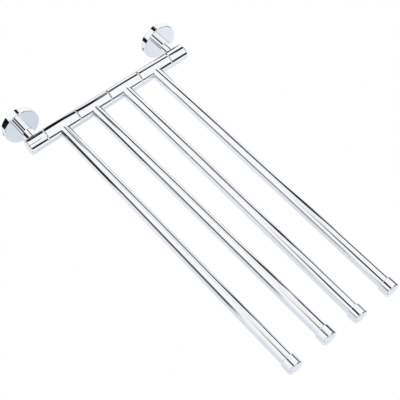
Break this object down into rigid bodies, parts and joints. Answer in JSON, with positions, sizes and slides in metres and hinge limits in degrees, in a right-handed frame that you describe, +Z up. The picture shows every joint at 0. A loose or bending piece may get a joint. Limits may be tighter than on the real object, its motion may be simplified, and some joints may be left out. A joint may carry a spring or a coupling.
{
  "type": "swing arm towel bar",
  "caption": "Wall-mounted towel rack: an upright shaft on two round flanges carries straight round arms that swing side to side on barrel pivots.",
  "frame": {"origin": "centre of the four wall-screw holes on the wall plane, halfway between the two flanges", "axes": "+Z up along the spindle, +Y into the wall, arms stand out along -Y, +X to the right seen from the room"},
  "size_m": [0.05, 0.4731, 0.2728],
  "materials": {
    "chrome": "polished chrome plate, mirror bright",
    "steel": "plain turned or stamped steel",
    "screw_steel": "dark machine-screw steel",
    "bearing_plastic": "white bearing plastic, matte"
  },
  "bodies": {
    "wall_frame": {"spindle": "steel", "thrust_washers": "bearing_plastic", "lower_collar": "chrome", "lower_post": "chrome", "lower_flange_cover": "chrome", "lower_wall_bracket": "steel", "upper_collar": "chrome", "upper_post": "chrome", "upper_flange_cover": "chrome", "upper_wall_bracket": "steel", "cover_grub_screws": "screw_steel", "post_screws": "screw_steel", "post_screw_washers": "steel"},
    "arm_1": {"arm_1_barrel": "chrome", "arm_1_bushes": "bearing_plastic", "arm_1_root_plug": "steel", "arm_1_tube": "chrome", "arm_1_end_cap": "chrome"},
    "arm_2": {"arm_2_barrel": "chrome", "arm_2_bushes": "bearing_plastic", "arm_2_root_plug": "steel", "arm_2_tube": "chrome", "arm_2_end_cap": "chrome"},
    "arm_3": {"arm_3_barrel": "chrome", "arm_3_bushes": "bearing_plastic", "arm_3_root_plug": "steel", "arm_3_tube": "chrome", "arm_3_end_cap": "chrome"},
    "arm_4": {"arm_4_barrel": "chrome", "arm_4_bushes": "bearing_plastic", "arm_4_root_plug": "steel", "arm_4_tube": "chrome", "arm_4_end_cap": "chrome"}
  },
  "joints": [
    {"name": "arm_1_swing", "type": "hinge", "parent": "wall_frame", "child": "arm_1", "pos_m": [0, -0.043, -0.0735], "axis": [0, 0, 1], "range_deg": [-89.3, 90.7]},
    {"name": "arm_2_swing", "type": "hinge", "parent": "wall_frame", "child": "arm_2", "pos_m": [0, -0.043, -0.0245], "axis": [0, 0, 1], "range_deg": [-89, 91]},
    {"name": "arm_3_swing", "type": "hinge", "parent": "wall_frame", "child": "arm_3", "pos_m": [0, -0.043, 0.0245], "axis": [0, 0, 1], "range_deg": [-91, 89]},
    {"name": "arm_4_swing", "type": "hinge", "parent": "wall_frame", "child": "arm_4", "pos_m": [0, -0.043, 0.0735], "axis": [0, 0, 1], "range_deg": [-90.9, 89.1]}
  ]
}
